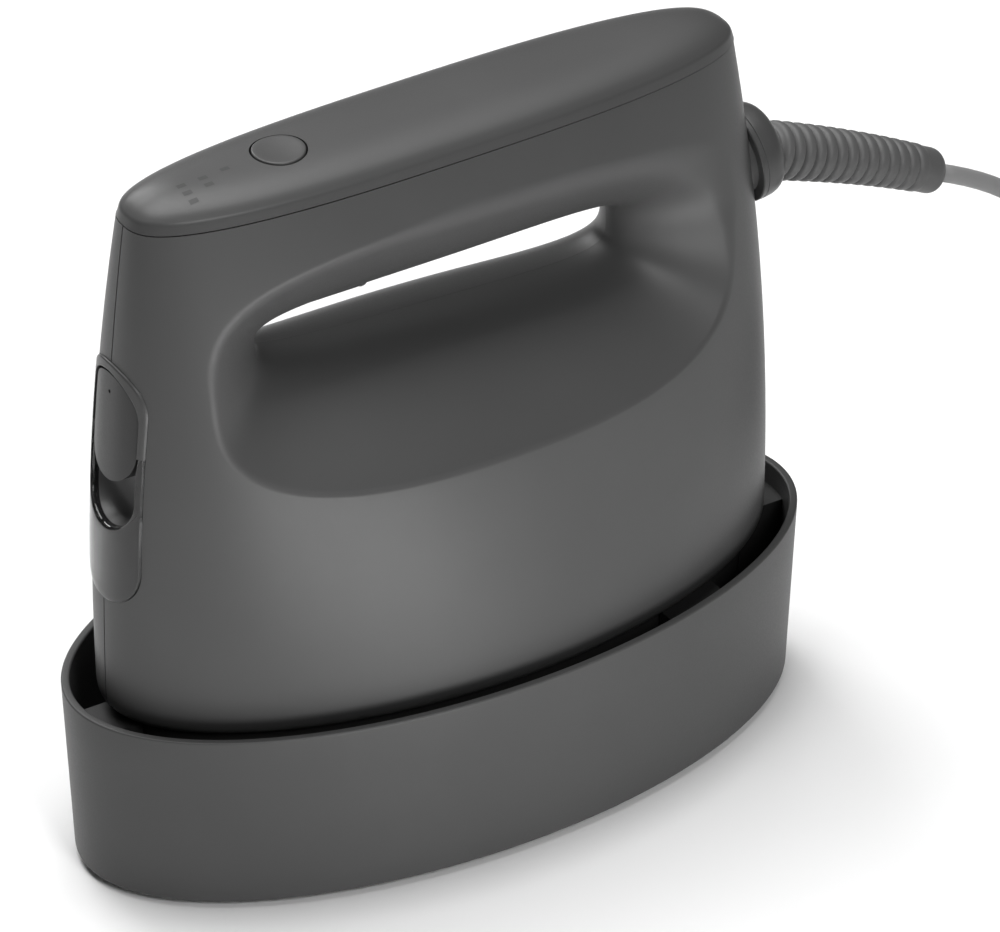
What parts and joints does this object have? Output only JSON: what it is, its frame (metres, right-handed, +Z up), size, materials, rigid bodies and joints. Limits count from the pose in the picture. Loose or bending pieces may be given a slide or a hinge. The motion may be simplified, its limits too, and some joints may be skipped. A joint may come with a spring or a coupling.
{
  "type": "garment steamer iron",
  "caption": "Upright handheld garment steamer iron with a finger-hole grip, nose water filler and mains cord, standing in an oval stand.",
  "frame": {"origin": "middle of the stand's footprint on the table, the cord and its coil left aside", "axes": "+X along the long axis towards the cord end, -X towards the nose with the water filler, +Z up; the left half shell is at -Y"},
  "size_m": [0.3079, 0.0892, 0.1565],
  "materials": {
    "shell_plastic": "satin moulded, charcoal",
    "cap_plastic": "satin moulded, charcoal",
    "stand_plastic": "satin moulded, charcoal",
    "trim_plastic": "fine matt",
    "black_plastic": "heat-proof matt",
    "smoke_window": "smoked clear",
    "tank_plastic": "smoked",
    "lamp_lens": "milky clear",
    "circuit_board": "lacquered",
    "steel": "zinc plated",
    "cast_aluminium": "die cast",
    "sole_coating": "non-stick coated",
    "brass_parts": "plain",
    "heat_pad": "silicone",
    "rubber_grey": "matt",
    "hose_silicone": "translucent silicone",
    "relief_rubber": "matt PVC",
    "cord_sheath": "matt PVC",
    "plug_plastic": "moulded PVC",
    "blade_metal": "nickel plated"
  },
  "bodies": {
    "stand": {"stand_tray": "stand_plastic", "stand_feet": "rubber_grey", "stand_locators": "stand_plastic", "stand_heat_pads": "heat_pad", "power_cord": "cord_sheath", "cord_coil": "cord_sheath", "cord_tail": "cord_sheath", "cord_tie": "rubber_grey", "plug_body": "plug_plastic", "plug_blades": "blade_metal"},
    "iron": {"left_shell": "shell_plastic", "right_shell": "shell_plastic", "top_cap": "cap_plastic", "power_switch": "black_plastic", "level_lamps": "lamp_lens", "light_guide": "lamp_lens", "control_board": "circuit_board", "board_screws": "steel", "trigger_spring": "steel", "trigger_switch": "black_plastic", "switch_bracket": "steel", "water_tank": "tank_plastic", "window_frame": "trim_plastic", "tank_window": "smoke_window", "lid_hinge_pin": "steel", "pump": "steel", "pump_yoke": "steel", "pump_cradle": "rubber_grey", "suction_hose": "hose_silicone", "delivery_hose": "hose_silicone", "steam_generator": "cast_aluminium", "heater_element": "steel", "generator_cover": "cast_aluminium", "cover_screws": "steel", "thermostat": "brass_parts", "thermal_fuse": "brass_parts", "sole_plate": "sole_coating", "heat_skirt": "black_plastic", "skirt_screws": "steel", "cord_collar": "trim_plastic", "cord_clamp": "black_plastic", "inner_lead": "cord_sheath", "strain_relief": "relief_rubber"},
    "lid": {"filler_lid": "trim_plastic", "lid_gasket": "rubber_grey"},
    "button": {"power_button": "cap_plastic"},
    "trigger": {"steam_trigger": "trim_plastic"}
  },
  "joints": [
    {"name": "iron_lift", "type": "slide", "parent": "stand", "child": "iron", "axis": [0, 0, 1], "range_m": [0, 0.05]},
    {"name": "filler_lid_hinge", "type": "hinge", "parent": "iron", "child": "lid", "pos_m": [-0.07042, 0, 0.1095], "axis": [0, 1, 0], "range_deg": [0, 80]},
    {"name": "power_button_press", "type": "slide", "parent": "iron", "child": "button", "axis": [0, 0, -1], "range_m": [0, 0.001], "stiffness_N_per_m": 600, "springref_m": -0.0005},
    {"name": "steam_trigger_press", "type": "slide", "parent": "iron", "child": "trigger", "axis": [0, 0, 1], "range_m": [0, 0.002], "stiffness_N_per_m": 500, "springref_m": -0.001, "deforming": ["trigger_spring"]}
  ]
}
